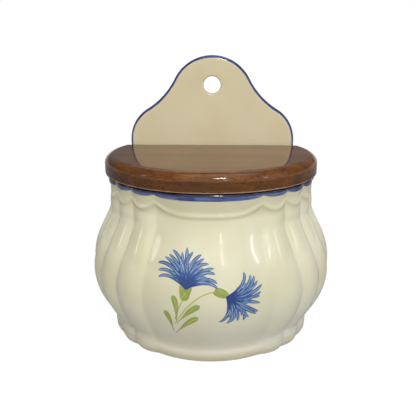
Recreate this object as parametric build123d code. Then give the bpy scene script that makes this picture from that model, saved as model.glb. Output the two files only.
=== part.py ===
from build123d import *
import os
from math import acos, atan2, cos, degrees, dist, radians, sin, sqrt

os.makedirs("parts", exist_ok=True)

# Salt box for a wall: a gadrooned faience box with an arched back plate and a
# hinged wooden lid. Millimetres. X runs left to right, -Y is the front, Z is up.

# ---- overall form ----
HEIGHT = 202.9
BELLY_HALF_WIDTH = 89.0
PLAN_RATIO = 0.86
AXIS_TO_PLATE = 31.6
PLATE_T = 7.0

# ---- ceramic body ----
RIM_Z = 122.7
FLOOR_Z = 8.0
FOOT_RECESS = 3.0
FOOT_RING = 7.0
WALL = 6.5
RIM_WALL = 6.0
CORNER_R = 5.0
FLOOR_R = 5.0
CAVITY_FOOT_SHARE = 0.829
GROOVE_DEPTH = 2.4
# Angles of the grooves from the front, in degrees of the plan ellipse.
GROOVES = (31.0, 48.2, 64.8, 82.0, 100.0)
# Shares of the rim's height, the belly's half width and the groove depth.
BELLY_SHARES = (
    (0.062, 0.820, 0.75),
    (0.103, 0.827, 0.80),
    (0.143, 0.855, 0.88),
    (0.241, 0.936, 0.96),
    (0.453, 1.000, 1.00),
    (0.665, 0.922, 0.92),
    (0.853, 0.820, 0.55),
    (0.934, 0.836, 0.65),
    (1.000, 0.854, 0.75),
)
PLINTH_SHARES = ((0.0, 0.801, 0.75), (0.035, 0.828, 0.80), (0.078, 0.839, 0.80))

# ---- arched back plate ----
DOME_R = 32.1
SHOULDER_R = 27.7
SHOULDER_HALF_WIDTH = 63.4
SHOULDER_ABOVE_RIM = 43.9
PLATE_BELOW_RIM = 17.1
SWEEP_R = 58.4
PLATE_EDGE_R = 2.6
HANG_HOLE_BELOW_TOP = 21.9
HANG_HOLE_R = 6.5
HANG_HOLE_EDGE_R = 1.2

# ---- lid ----
LID_OVERHANG = 0.7
LID_T = 13.5
LID_REST_GAP = 0.2
LID_BACK_GAP = 0.4
LID_TOP_R = 6.2
LID_BOTTOM_R = 1.0

# ---- hinge ----
PIN_R = 1.5
PIN_IN_LID_CLEARANCE = 0.02
PIN_IN_EYE_CLEARANCE = 0.08
PIN_INSIDE_EAR = 14.0
PIN_RECESS = 1.6
BRASS_T = 2.0
EAR_FROM_LID_SIDE = 26.7
EYE_R = 3.5
NOTCH_SIDE_GAP = 0.5
NOTCH_ROUND_GAP = 0.7
WEB_BELOW_RIM = 1.2
LEAF_W = 12.0
LEAF_H = 27.0
LEAF_CORNER_R = 3.0
GASKET_T = 1.0
SCREWS_BELOW_RIM = (8.0, 21.0)
SCREW_R = 1.5
SCREW_CLEARANCE = 0.2
SCREW_HEAD_R = 3.0
SCREW_HEAD_T = 1.7
HEAD_CLEARANCE = 0.1
WASHER_R = 3.5
WASHER_T = 0.5
NUT_AF = 5.5
NUT_T = 2.4
SCREW_TAIL = 1.0

# ---- sizes that follow from the ones above ----
DEPTH = BELLY_HALF_WIDTH * PLAN_RATIO + AXIS_TO_PLATE + PLATE_T
BACK_Y = DEPTH / 2
PLATE_Y = BACK_Y - PLATE_T
AXIS_Y = PLATE_Y - AXIS_TO_PLATE
SHOULDER_Z = RIM_Z + SHOULDER_ABOVE_RIM
PLATE_FOOT_Z = RIM_Z - PLATE_BELOW_RIM
HANG_HOLE_Z = HEIGHT - HANG_HOLE_BELOW_TOP
LID_HALF_WIDTH = BELLY_HALF_WIDTH * BELLY_SHARES[-1][1] + LID_OVERHANG
LID_HALF_DEPTH = LID_HALF_WIDTH * PLAN_RATIO
LID_Z = RIM_Z + LID_REST_GAP
LID_BACK_Y = PLATE_Y - LID_BACK_GAP
PIVOT_R = LID_T / 2
PIVOT_Z = LID_Z + PIVOT_R
PIVOT_Y = LID_BACK_Y - PIVOT_R
LEAF_Y = PLATE_Y - GASKET_T - BRASS_T
LEAF_TOP_Z = RIM_Z - WEB_BELOW_RIM
EAR_X = LID_HALF_WIDTH - EAR_FROM_LID_SIDE
LEAF_X = EAR_X + BRASS_T / 2 - LEAF_W / 2
WASHER_Y = LEAF_Y - WASHER_T
NUT_Y = WASHER_Y - NUT_T
SCREW_END_Y = NUT_Y - SCREW_TAIL
PIN_INNER_X = EAR_X - PIN_INSIDE_EAR
PIN_OUTER_X = LID_HALF_WIDTH * sqrt(1 - ((PIVOT_Y - AXIS_Y) / LID_HALF_DEPTH) ** 2) - PIN_RECESS
# Reach of a cutter past the face that it leaves.
PAST = 1.0


def stations(shares):
    """Height, half width and groove depth of each section."""
    return [(z * RIM_Z, a * BELLY_HALF_WIDTH, g * GROOVE_DEPTH) for z, a, g in shares]


def plan_point(half_width, angle, inset=0.0):
    """Point of the plan ellipse, its angle counted from the front."""
    a = half_width - inset
    b = half_width * PLAN_RATIO - inset
    turn = radians(angle)
    return (a * sin(turn), AXIS_Y - b * cos(turn))


def back_angle(half_width, y):
    """Angle at which the plan ellipse reaches the depth y."""
    return degrees(acos((AXIS_Y - y) / (half_width * PLAN_RATIO)))


def side_edges(half_width, groove, back_y, side):
    """Gadroon arcs and rounded back corner of one side of a section."""
    corner_y = back_y - CORNER_R
    last = back_angle(half_width, corner_y)
    stops = [plan_point(half_width, angle, groove) for angle in GROOVES]
    stops.append(plan_point(half_width, last))
    middles = [(near + far) / 2 for near, far in zip(GROOVES, GROOVES[1:] + (last,))]
    edges = []
    for start, middle, end in zip(stops, middles, stops[1:]):
        crown = plan_point(half_width, middle)
        points = [(side * x, y) for x, y in (start, crown, end)]
        edges.append(ThreePointArc(*points))
    corner_x = stops[-1][0]
    centre_x = corner_x - CORNER_R
    bend = CORNER_R * sqrt(0.5)
    corner = [
        (side * corner_x, corner_y),
        (side * (centre_x + bend), corner_y + bend),
        (side * centre_x, back_y),
    ]
    edges.append(ThreePointArc(*corner))
    return edges


def lobed_section(z, half_width, groove, back_y):
    """Gadrooned section: one wide front lobe, narrow lobes, flat back."""
    left = plan_point(half_width, -GROOVES[0], groove)
    right = plan_point(half_width, GROOVES[0], groove)
    front = ThreePointArc(left, plan_point(half_width, 0.0), right)
    right_side = side_edges(half_width, groove, back_y, 1)
    left_side = side_edges(half_width, groove, back_y, -1)
    back = Line(right_side[-1] @ 1, left_side[-1] @ 1)
    edges = [front, *right_side, back, *left_side]
    return Pos(0, 0, z) * make_face(edges)


def smooth_section(z, half_width, offset):
    """Plain inner section, offset inwards, with its flat on the plate's plane."""
    a = half_width - offset
    b = half_width * PLAN_RATIO - offset
    blank = Pos(0, AXIS_Y) * Ellipse(a, b)
    front_side = Pos(0, PLATE_Y - DEPTH / 2) * Rectangle(3 * BELLY_HALF_WIDTH, DEPTH)
    shape = blank & front_side
    return Pos(0, 0, z) * fillet(shape.vertices(), CORNER_R)


def half_space_front():
    """Block that keeps all in front of the back plane."""
    size = 4 * HEIGHT
    return Pos(0, BACK_Y - size / 2, 0) * Box(size, size, size)


def body_outside():
    """Belly and stepped plinth, cut flat at the back plane."""
    over = BACK_Y + 0.5
    belly = loft([lobed_section(*place, over) for place in stations(BELLY_SHARES)])
    plinth = loft([lobed_section(*place, over) for place in stations(PLINTH_SHARES)])
    return (belly + plinth) & half_space_front()


def body_cavity():
    """Room inside: follows the belly, round at the floor, open at the rim."""
    bowl_top = FLOOR_Z + FLOOR_R
    foot = CAVITY_FOOT_SHARE * BELLY_HALF_WIDTH
    places = [(z, a, WALL) for z, a, _ in stations(BELLY_SHARES[:-1]) if z > bowl_top]
    places.insert(0, (bowl_top, foot, WALL))
    rim_half_width = stations(BELLY_SHARES)[-1][1]
    places.append((RIM_Z + 0.01, rim_half_width, RIM_WALL))
    room = loft([smooth_section(*place) for place in places])
    bend = 0.3 * FLOOR_R
    bowl = loft([
        smooth_section(FLOOR_Z, foot, WALL + FLOOR_R),
        smooth_section(FLOOR_Z + bend, foot, WALL + bend),
        smooth_section(bowl_top, foot, WALL),
    ])
    return room + bowl


def foot_recess():
    """Shallow hollow under the floor that leaves a foot ring."""
    half_width = stations(PLINTH_SHARES)[0][1]
    return extrude(smooth_section(0.0, half_width, FOOT_RING), FOOT_RECESS)


def touching_centre(first, first_r, second, second_r, r):
    """Centre, right of both, of the circle of radius r that touches two circles."""
    span = dist(first, second)
    near = first_r + r
    far = second_r + r
    along = (near ** 2 - far ** 2 + span ** 2) / (2 * span)
    across = sqrt(near ** 2 - along ** 2)
    ux = (second[0] - first[0]) / span
    uz = (second[1] - first[1]) / span
    return (first[0] + along * ux - across * uz, first[1] + along * uz + across * ux)


def arc_about(centre, radius, start, end):
    """Shorter arc of a circle between the directions of two points."""
    turns = [atan2(z - centre[1], x - centre[0]) for x, z in (start, end)]
    turns.insert(1, (turns[0] + turns[1]) / 2)
    points = [(centre[0] + radius * cos(t), centre[1] + radius * sin(t)) for t in turns]
    return ThreePointArc(*points)


def plate_outline():
    """Dome, swept sides and round shoulders of the back plate, seen from the front."""
    dome = (0.0, HEIGHT - DOME_R)
    shoulder = (SHOULDER_HALF_WIDTH - SHOULDER_R, SHOULDER_Z - SHOULDER_R)
    sweep = touching_centre(dome, DOME_R, shoulder, SHOULDER_R, SWEEP_R)
    low = (shoulder[0], PLATE_FOOT_Z + SHOULDER_R)
    top = arc_about(dome, DOME_R, (0.0, HEIGHT), sweep)
    waist = arc_about(sweep, SWEEP_R, dome, shoulder)
    round_side = arc_about(shoulder, SHOULDER_R, sweep, (HEIGHT, shoulder[1]))
    flank = Line(round_side @ 1, (SHOULDER_HALF_WIDTH, low[1]))
    foot = arc_about(low, SHOULDER_R, (HEIGHT, low[1]), (low[0], 0.0))
    base = Line(foot @ 1, (0.0, PLATE_FOOT_Z))
    right = make_face([top, waist, round_side, flank, foot, base,
                       Line((0.0, PLATE_FOOT_Z), (0.0, HEIGHT))])
    return right + mirror(right, Plane.YZ)


def along_y(radius, y0, y1, x, z):
    """Rod from y0 back to y1 at x, z."""
    rod = Cylinder(radius, y1 - y0, rotation=(90, 0, 0))
    return Pos(x, (y0 + y1) / 2, z) * rod


def along_x(radius, x0, x1, y, z):
    """Rod from x0 to x1 at y, z."""
    rod = Cylinder(radius, x1 - x0, rotation=(0, 90, 0))
    return Pos((x0 + x1) / 2, y, z) * rod


def countersunk(radius, head_r, head_t, y_end, x, z, grow=0.0):
    """Shank and cone head that ends flush with the back plane."""
    shank = along_y(radius + grow, y_end, BACK_Y, x, z)
    cone = Cone(head_r + grow, radius + grow, head_t, rotation=(90, 0, 0))
    return shank + Pos(x, BACK_Y - head_t / 2, z) * cone


def screw_places():
    """X and Z of the four bracket screws."""
    return [(side * LEAF_X, RIM_Z - drop) for side in (-1, 1) for drop in SCREWS_BELOW_RIM]


def box_body():
    """Pressed and glazed box: belly, plinth, room, foot ring and screw holes."""
    body = body_outside() - body_cavity() - foot_recess()
    holes = [countersunk(SCREW_R + SCREW_CLEARANCE, SCREW_HEAD_R + HEAD_CLEARANCE,
                         SCREW_HEAD_T + HEAD_CLEARANCE, PLATE_Y - PAST, x, z)
             for x, z in screw_places()]
    return body - holes


def back_plate():
    """Slab luted on the back wall's top: soft edges all round, hanging hole near its top."""
    plane = Plane(origin=(0, BACK_Y, 0), x_dir=(1, 0, 0), z_dir=(0, -1, 0))
    plate = extrude(plane * plate_outline(), PLATE_T)
    front_and_back = plate.faces().sort_by(Axis.Y)
    plate = fillet(front_and_back[0].edges() + front_and_back[-1].edges(), PLATE_EDGE_R)
    plate = plate & Pos(0, 0, RIM_Z + HEIGHT / 2) * Box(2 * HEIGHT, 2 * HEIGHT, HEIGHT)
    plate = plate - along_y(HANG_HOLE_R, PLATE_Y - PAST, BACK_Y + PAST, 0, HANG_HOLE_Z)
    ring = [e for e in plate.edges().filter_by(GeomType.CIRCLE)
            if abs(e.radius - HANG_HOLE_R) < 0.01]
    return fillet(ring, HANG_HOLE_EDGE_R)


def lid_blank():
    """Board cut to the plan, with a large round on its top edge."""
    plan = Pos(0, AXIS_Y) * Ellipse(LID_HALF_WIDTH, LID_HALF_DEPTH)
    keep = Pos(0, LID_BACK_Y - DEPTH) * Rectangle(3 * LID_HALF_WIDTH, 2 * DEPTH)
    board = extrude(Pos(0, 0, LID_Z) * (plan & keep), LID_T)
    curved = board.edges().filter_by(GeomType.ELLIPSE)
    board = fillet(curved.sort_by(Axis.Z)[-1:], LID_TOP_R)
    bottom = board.edges().filter_by(GeomType.ELLIPSE).sort_by(Axis.Z)[:1]
    return fillet(bottom, LID_BOTTOM_R)


def lid_back_round():
    """Profile along X that rounds the back edge about the pivot."""
    length = PIVOT_Y + DEPTH
    slab = Box(3 * LID_HALF_WIDTH, length, LID_T)
    slab = Pos(0, PIVOT_Y - length / 2, PIVOT_Z) * slab
    return slab + along_x(PIVOT_R, -1.5 * LID_HALF_WIDTH, 1.5 * LID_HALF_WIDTH, PIVOT_Y, PIVOT_Z)


def ear_notch(side):
    """Blind slot from below that clears the bracket's ear from shut to open."""
    reach = EYE_R + NOTCH_ROUND_GAP
    width = BRASS_T + 2 * NOTCH_SIDE_GAP
    y0 = PIVOT_Y - reach
    y1 = LID_BACK_Y + PAST
    z0 = LID_Z - PAST
    z1 = PIVOT_Z + reach
    slot = Box(width, y1 - y0, z1 - z0)
    slot = Pos(side * EAR_X, (y0 + y1) / 2, (z0 + z1) / 2) * slot
    front_top = slot.edges().filter_by(Axis.X).group_by(Axis.Y)[0].sort_by(Axis.Z)[-1]
    return fillet(front_top, reach - 0.2)


def lid_board():
    """Finished lid: blank, round back edge, ear notches and pin bores."""
    lid = lid_blank() & lid_back_round()
    bore_r = PIN_R + PIN_IN_LID_CLEARANCE
    for side in (-1, 1):
        x0, x1 = sorted((side * PIN_INNER_X, side * (LID_HALF_WIDTH + PAST)))
        lid = lid - ear_notch(side) - along_x(bore_r, x0, x1, PIVOT_Y, PIVOT_Z)
    return lid


def hinge_pin(side):
    """Pin driven in from the end of the lid, through the ear."""
    x0, x1 = sorted((side * PIN_INNER_X, side * PIN_OUTER_X))
    pin = along_x(PIN_R, x0, x1, PIVOT_Y, PIVOT_Z)
    return chamfer(pin.edges().filter_by(GeomType.CIRCLE), 0.3)


def hinge_bracket(side):
    """Folded brass: leaf on the back wall, web forward, arm up to the eye."""
    leaf = Box(LEAF_W, BRASS_T, LEAF_H)
    leaf = Pos(LEAF_X, LEAF_Y + BRASS_T / 2, LEAF_TOP_Z - LEAF_H / 2) * leaf
    low_corner = leaf.edges().filter_by(Axis.Y).sort_by(lambda e: e.center().X + e.center().Z)[0]
    leaf = fillet(low_corner, LEAF_CORNER_R)
    web_front = PIVOT_Y - EYE_R
    web_back = LEAF_Y + BRASS_T
    web = Box(BRASS_T, web_back - web_front, LEAF_H)
    web = Pos(EAR_X, (web_front + web_back) / 2, LEAF_TOP_Z - LEAF_H / 2) * web
    toe = web.edges().filter_by(Axis.X).group_by(Axis.Z)[0].sort_by(Axis.Y)[0]
    web = fillet(toe, 0.75 * (web_back - web_front))
    arm_h = PIVOT_Z - LEAF_TOP_Z + BRASS_T
    arm = Pos(EAR_X, PIVOT_Y, PIVOT_Z - arm_h / 2) * Box(BRASS_T, 2 * EYE_R, arm_h)
    eye = along_x(EYE_R, EAR_X - BRASS_T / 2, EAR_X + BRASS_T / 2, PIVOT_Y, PIVOT_Z)
    bracket = leaf + web + arm + eye
    hole_r = PIN_R + PIN_IN_EYE_CLEARANCE
    hole = along_x(hole_r, EAR_X - BRASS_T, EAR_X + BRASS_T, PIVOT_Y, PIVOT_Z)
    bracket = bracket - hole
    for drop in SCREWS_BELOW_RIM:
        bracket = bracket - along_y(SCREW_R + SCREW_CLEARANCE, LEAF_Y - PAST, BACK_Y,
                                    LEAF_X, RIM_Z - drop)
    return bracket if side > 0 else mirror(bracket, Plane.YZ)


def bracket_gaskets():
    """Fibre pads between the brass leaves and the glazed wall."""
    pads = []
    for side in (-1, 1):
        pad = Box(LEAF_W - 1, GASKET_T, LEAF_H - 1)
        pad = Pos(side * LEAF_X, PLATE_Y - GASKET_T / 2, LEAF_TOP_Z - LEAF_H / 2) * pad
        for drop in SCREWS_BELOW_RIM:
            pad = pad - along_y(SCREW_R + SCREW_CLEARANCE, LEAF_Y, BACK_Y,
                                side * LEAF_X, RIM_Z - drop)
        pads.append(pad)
    return Compound(children=pads)


def bracket_screws():
    """Countersunk screws from the back, slotted heads flush with the plate."""
    screws = []
    for x, z in screw_places():
        screw = countersunk(SCREW_R, SCREW_HEAD_R, SCREW_HEAD_T, SCREW_END_Y, x, z)
        slot = Pos(x, BACK_Y, z) * Box(2 * SCREW_HEAD_R + 1, 1.4, 0.8)
        screws.append(screw - slot)
    return Compound(children=screws)


def bracket_washers():
    """Plain washers under the nuts."""
    washers = []
    for x, z in screw_places():
        washer = along_y(WASHER_R, WASHER_Y, LEAF_Y, x, z)
        hole = along_y(SCREW_R + SCREW_CLEARANCE, WASHER_Y - PAST, LEAF_Y + PAST, x, z)
        washers.append(washer - hole)
    return Compound(children=washers)


def bracket_nuts():
    """Hexagon nuts inside the box."""
    nuts = []
    for x, z in screw_places():
        plane = Plane(origin=(x, WASHER_Y, z), x_dir=(1, 0, 0), z_dir=(0, -1, 0))
        hexagon = RegularPolygon(NUT_AF / 2, 6, major_radius=False)
        nut = extrude(plane * (hexagon - Circle(SCREW_R + 0.02)), NUT_T)
        nuts.append(nut)
    return Compound(children=nuts)


NODES = {
    "ceramic_box": box_body(),
    "ceramic_back_plate": back_plate(),
    "lid_board": lid_board(),
    "hinge_bracket_left": hinge_bracket(-1),
    "hinge_bracket_right": hinge_bracket(1),
    "hinge_pin_left": hinge_pin(-1),
    "hinge_pin_right": hinge_pin(1),
    "bracket_gaskets": bracket_gaskets(),
    "bracket_screws": bracket_screws(),
    "bracket_washers": bracket_washers(),
    "bracket_nuts": bracket_nuts(),
}

for name, shape in NODES.items():
    export_step(shape, f"parts/{name}.step")
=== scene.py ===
import math

import bmesh
import bpy
import numpy as np
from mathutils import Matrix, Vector


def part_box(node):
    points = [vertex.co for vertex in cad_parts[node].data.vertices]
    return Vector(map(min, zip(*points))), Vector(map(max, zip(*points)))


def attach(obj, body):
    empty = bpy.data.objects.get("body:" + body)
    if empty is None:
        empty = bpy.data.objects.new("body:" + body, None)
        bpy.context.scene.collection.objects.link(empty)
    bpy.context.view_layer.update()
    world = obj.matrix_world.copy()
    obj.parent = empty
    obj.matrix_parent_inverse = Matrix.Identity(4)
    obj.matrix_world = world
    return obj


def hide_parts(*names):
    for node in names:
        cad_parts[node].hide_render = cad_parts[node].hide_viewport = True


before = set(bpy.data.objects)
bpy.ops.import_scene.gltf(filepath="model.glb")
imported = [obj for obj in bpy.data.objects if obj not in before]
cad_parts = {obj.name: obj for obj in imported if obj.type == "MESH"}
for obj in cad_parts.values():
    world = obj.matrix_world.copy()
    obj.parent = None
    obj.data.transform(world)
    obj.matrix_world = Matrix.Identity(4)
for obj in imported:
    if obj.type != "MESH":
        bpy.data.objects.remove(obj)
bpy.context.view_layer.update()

MM = 0.001

# ---- sizes of the fired box in millimetres, the same as its solids ----
HEIGHT = 202.9
BELLY = 89.0
RATIO = 0.86  # of depth to width
PLATE_THICKNESS = 7.0
AXIS_TO_PLATE = 31.6
BACK_Y = (BELLY * RATIO + AXIS_TO_PLATE + PLATE_THICKNESS) / 2
PLATE_Y = BACK_Y - PLATE_THICKNESS
AXIS_Y = PLATE_Y - AXIS_TO_PLATE
RIM_Z = 122.7
FLOOR_Z = 8.0
WALL = 6.5
RIM_WALL = 6.0
GROOVE_DEPTH = 2.4
# degrees from the front, the same to the left and to the right
GROOVES = (31.0, 48.2, 64.8, 82.0, 100.0, 118.0, 136.0, 158.0)
# height, half width and groove depth, as shares of RIM_Z, BELLY and GROOVE_DEPTH
BELLY_SHARES = (
    (0.062, 0.814, 0.75),
    (0.103, 0.825, 0.80),
    (0.143, 0.855, 0.88),
    (0.241, 0.936, 0.96),
    (0.453, 1.000, 1.00),
    (0.665, 0.922, 0.92),
    (0.853, 0.820, 0.55),
    (0.934, 0.836, 0.65),
    (1.000, 0.854, 0.75),
)
PLINTH_SHARES = ((0.0, 0.801), (0.035, 0.828), (0.078, 0.839))  # height and half width
FOOT_SHARE = PLINTH_SHARES[0][1]
SIDE_FOOT_SHARE = 0.836  # how wide the foot stays at the sides, where it has no ledge
PLINTH_Z = 9.57
LEDGE_RISE = 1.2
LEDGE_FADE = 5.6
FOOT_ROUND = 1.4
RIM_ROUND = 2.6
CORNER_ROUND = 1.6  # between the belly and the flat back
SKIN_INSET = 0.09  # keeps the skin just inside the solids
FLOOR_ROUND = 5.0
ROOM_CORNER_ROUND = 2.0

# ---- moulded and painted detail of the neck ----
# lowest points of the lines on the wide lobe and on the narrow ones, and their cusps between lobes
LIP_WIDE_Z = 117.6
LIP_NARROW_Z = 118.1
LIP_CUSP_Z = 119.5
LIP_PROUD = 0.6
BEAD_CUSP_Z = 113.6
BEAD_WIDE_Z = 106.8
BEAD_NARROW_Z = 109.2
BEAD_HALF_WIDTH = 1.7
BEAD_PROUD = 1.0
FESTOON_Z = 112.0  # the lines follow the grooves at this height

# ---- back plate ----
DOME_R = 32.1
SHOULDER_R = 27.7
SHOULDER_X = 63.4
SHOULDER_Z = RIM_Z + 43.9
PLATE_FOOT_Z = RIM_Z - 17.1
SWEEP_R = 58.4
PLATE_EDGE_R = 2.6
HANG_HOLE_Z = 181.0
HANG_HOLE_R = 6.5
HANG_EDGE_R = 1.2
PAST = 1.0  # how far a cutter runs past what it cuts


# ---------------------------------------------------------------- numbers

def spline(xs, ys):
    """Natural cubic through the points, as a function of arrays."""
    xs = np.array(xs, float)
    ys = np.array(ys, float)
    h = np.diff(xs)
    n = len(xs)
    m = np.zeros((n, n))
    r = np.zeros(n)
    m[0, 0] = m[-1, -1] = 1.0
    for i in range(1, n - 1):
        m[i, i - 1:i + 2] = h[i - 1], 2 * (h[i - 1] + h[i]), h[i]
        r[i] = 6 * ((ys[i + 1] - ys[i]) / h[i] - (ys[i] - ys[i - 1]) / h[i - 1])
    k = np.linalg.solve(m, r)

    def at(x):
        x = np.clip(np.asarray(x, float), xs[0], xs[-1])
        i = np.clip(np.searchsorted(xs, x, side="right") - 1, 0, n - 2)
        d0 = x - xs[i]
        d1 = xs[i + 1] - x
        return (k[i] * d1 ** 3 + k[i + 1] * d0 ** 3) / (6 * h[i]) + (
            (ys[i] / h[i] - k[i] * h[i] / 6) * d1 + (ys[i + 1] / h[i] - k[i + 1] * h[i] / 6) * d0)
    return at


def smoothstep(x):
    x = np.clip(x, 0.0, 1.0)
    return x * x * (3 - 2 * x)


def ramp(x, start, span):
    """0 up to the start, 1 from a span past it, and smooth between."""
    return smoothstep((x - start) / span)


def smooth_min(x, limit, k):
    """x held under the limit, with the corner rounded over 2k."""
    t = np.clip((x - limit) / (2 * k) + 0.5, 0.0, 1.0)
    return np.where(t >= 1.0, limit, np.where(t <= 0.0, x, x - k * t * t))


def hex_rgb(code):
    """sRGB hex to linear RGBA."""
    out = []
    for i in (0, 2, 4):
        c = int(code[i:i + 2], 16) / 255
        out.append(c / 12.92 if c <= 0.04045 else ((c + 0.055) / 1.055) ** 2.4)
    return (*out, 1.0)


# ------------------------------------------------------- form of the belly

def share_curve(shares, column, whole):
    """Smooth curve over the height through one column of a table of shares."""
    return spline([row[0] * RIM_Z for row in shares], [row[column] * whole for row in shares])


belly_width = share_curve(BELLY_SHARES, 1, BELLY)
plinth_width = share_curve(PLINTH_SHARES, 1, BELLY)
groove_depth = share_curve(BELLY_SHARES, 2, GROOVE_DEPTH)


def half_width(z):
    """Half width over the crowns of the lobes at the height z."""
    step = smoothstep((PLINTH_Z + LEDGE_RISE - z) / LEDGE_FADE)
    return belly_width(z) * (1 - step) + plinth_width(z) * step


def rounded(z, end, radius):
    """How far an edge rounding pulls the wall in near the height of the end."""
    d = np.clip(radius - np.abs(z - end), 0.0, radius)
    return radius - np.sqrt(np.maximum(radius ** 2 - d ** 2, 0.0))


def neck_turn(phi, z):
    """Angle in terms of the belly's grooves, which close in towards the front up the neck."""
    closing, opening = 0.075, 0.015
    scale = 1 - closing * ramp(z, 48.0, 34.0) + opening * ramp(z, 95.0, 20.0)
    fade = 1 - ramp(np.abs(phi), 75.0, 40.0)
    return phi / (1 + (scale - 1) * fade)


def lobes():
    """Low and high edge of each lobe in degrees, the wide front lobe first."""
    stops = (-GROOVES[0],) + GROOVES
    return list(zip(stops, stops[1:]))


def groove_inset(phi, z):
    """How far the wall lies under the lobes' crowns: a smooth minimum of one parabola a lobe.

    The smoothing gives the grooves a soft bottom. They are deeper on the neck.
    """
    plain, extra_on_neck, blend = 1.05, 0.65, 0.34
    mag = np.abs(neck_turn(phi, z))
    neck = ramp(z, 72.0, 20.0) * smoothstep((118.0 - z) / 10.0)
    depth = groove_depth(z) * (plain + extra_on_neck * neck)
    total = np.zeros(np.broadcast(phi, z).shape)
    for low, high in lobes():
        crown = depth * ((mag - (low + high) / 2) / ((high - low) / 2)) ** 2
        total = total + np.exp(-np.minimum(crown, 40.0) / blend)
    return -blend * np.log(total)


def festoon(phi, wide, narrow, cusp, powers, blend):
    """Height of a line that sags in each lobe, with cusps over the grooves rounded by blend."""
    mag = np.abs(neck_turn(phi, FESTOON_Z))
    total = np.zeros(np.shape(mag))
    for k, (low, high) in enumerate(lobes()):
        foot, power = (wide, powers[0]) if k == 0 else (narrow, powers[1])
        t = np.abs((mag - (low + high) / 2) / ((high - low) / 2))
        rise = np.minimum((cusp - foot) * t ** power, 25.0)
        total = total + np.exp(-(rise + foot - cusp) / blend)
    return cusp - blend * np.log(total)


def lip_line(phi):
    """Height of the scalloped lower edge of the lip."""
    return festoon(phi, LIP_WIDE_Z, LIP_NARROW_Z, LIP_CUSP_Z, (9.0, 3.0), 0.12)


def bead_line(phi):
    """Height of the crest of the festoon bead under the lip."""
    return festoon(phi, BEAD_WIDE_Z, BEAD_NARROW_Z, BEAD_CUSP_Z, (4.3, 2.0), 0.5)


def relief(phi, z):
    """Height of the lip and the festoon bead over the plain neck."""
    lip_slope_mm, round_share, d = 1.1, 0.93, 0.1
    lip_end = smoothstep((104.0 - np.abs(phi)) / 24.0)
    lip = LIP_PROUD * smoothstep((z - lip_line(phi)) / lip_slope_mm + 0.5) * lip_end
    crest = bead_line(phi)
    slope = (bead_line(phi + d) - bead_line(phi - d)) / (2 * d)
    per_degree = half_width(z) * round_share * math.pi / 180
    lean = np.sqrt(1 + np.clip(slope / per_degree, -3.0, 3.0) ** 2)
    bead = BEAD_PROUD * np.exp(-((z - crest) / lean / BEAD_HALF_WIDTH) ** 2)
    return lip + bead * smoothstep((82.0 - np.abs(phi)) / 18.0)


def outside(phi, z):
    """Point of the glazed outside at the angle phi, in degrees from the front, and height z.

    The foot's ledge shows in front and dies out towards the sides.
    """
    inset = SKIN_INSET + groove_inset(phi, z)
    inset = inset + rounded(z, 0.0, FOOT_ROUND) + rounded(z, RIM_Z, RIM_ROUND)
    inset = inset - relief(phi, z) + LIP_PROUD * ramp(z, 101.6, 8.0)
    sides = ramp(np.abs(phi), 24.0, 22.0) * ramp(z, 7.0, 2.0)
    width = half_width(z) + sides * np.maximum(SIDE_FOOT_SHARE * BELLY - half_width(z), 0.0)
    a = width - inset
    b = width * RATIO - inset
    turn = np.radians(phi)
    return a * np.sin(turn), AXIS_Y - b * np.cos(turn)


# ------------------------------------------------------------ mesh helpers

def show(name, mesh):
    """New object of the mesh in the scene."""
    obj = bpy.data.objects.new(name, mesh)
    bpy.context.scene.collection.objects.link(obj)
    return obj


def shade_smooth(mesh, sharp_from=None):
    """Smooth shading, with edges kept sharp from so many degrees."""
    mesh.polygons.foreach_set("use_smooth", [True] * len(mesh.polygons))
    if sharp_from is not None:
        mesh.set_sharp_from_angle(angle=math.radians(sharp_from))


def new_object(name, verts, faces):
    """New object in the scene from points in metres and faces."""
    mesh = bpy.data.meshes.new(name)
    mesh.from_pydata([tuple(v) for v in verts], [], faces)
    mesh.update()
    shade_smooth(mesh)
    return show(name, mesh)


def get_points(mesh):
    """Vertex places in millimetres."""
    co = np.zeros(len(mesh.vertices) * 3)
    mesh.vertices.foreach_get("co", co)
    return co.reshape(-1, 3) / MM


def set_attribute(mesh, name, values, kind="FLOAT"):
    """Writes a value for each point: a number, a whole number (INT) or a vector (FLOAT_VECTOR)."""
    layer = mesh.attributes.new(name, kind, "POINT")
    values = np.asarray(values, np.int32 if kind == "INT" else np.float32)
    layer.data.foreach_set("vector" if kind == "FLOAT_VECTOR" else "value", values.ravel())


def ring_stack(name, rings):
    """Closed skin through closed rings of equal length, with flat ends."""
    rings = [np.asarray(r, float) for r in rings]
    n = len(rings[0])
    verts = np.concatenate(rings)
    faces = []
    for k in range(len(rings) - 1):
        lo = k * n
        for j in range(n):
            j2 = (j + 1) % n
            faces.append((lo + j, lo + j2, lo + n + j2, lo + n + j))
    faces.append(tuple(range(n - 1, -1, -1)))
    top = (len(rings) - 1) * n
    faces.append(tuple(range(top, top + n)))
    obj = new_object(name, verts * MM, faces)
    outward(obj)
    return obj


def outward(obj):
    """Turns all faces of a closed skin outwards."""
    bm = bmesh.new()
    bm.from_mesh(obj.data)
    bmesh.ops.recalc_face_normals(bm, faces=bm.faces)
    bm.to_mesh(obj.data)
    bm.free()


def drop(obj):
    """Removes an object that has been used up, and its mesh."""
    mesh = obj.data
    bpy.data.objects.remove(obj)
    bpy.data.meshes.remove(mesh)


def evaluated_mesh(obj, name):
    """Plain mesh of the object with its modifiers applied."""
    dg = bpy.context.evaluated_depsgraph_get()
    mesh = bpy.data.meshes.new_from_object(obj.evaluated_get(dg), depsgraph=dg)
    mesh.name = name
    return mesh


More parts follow.
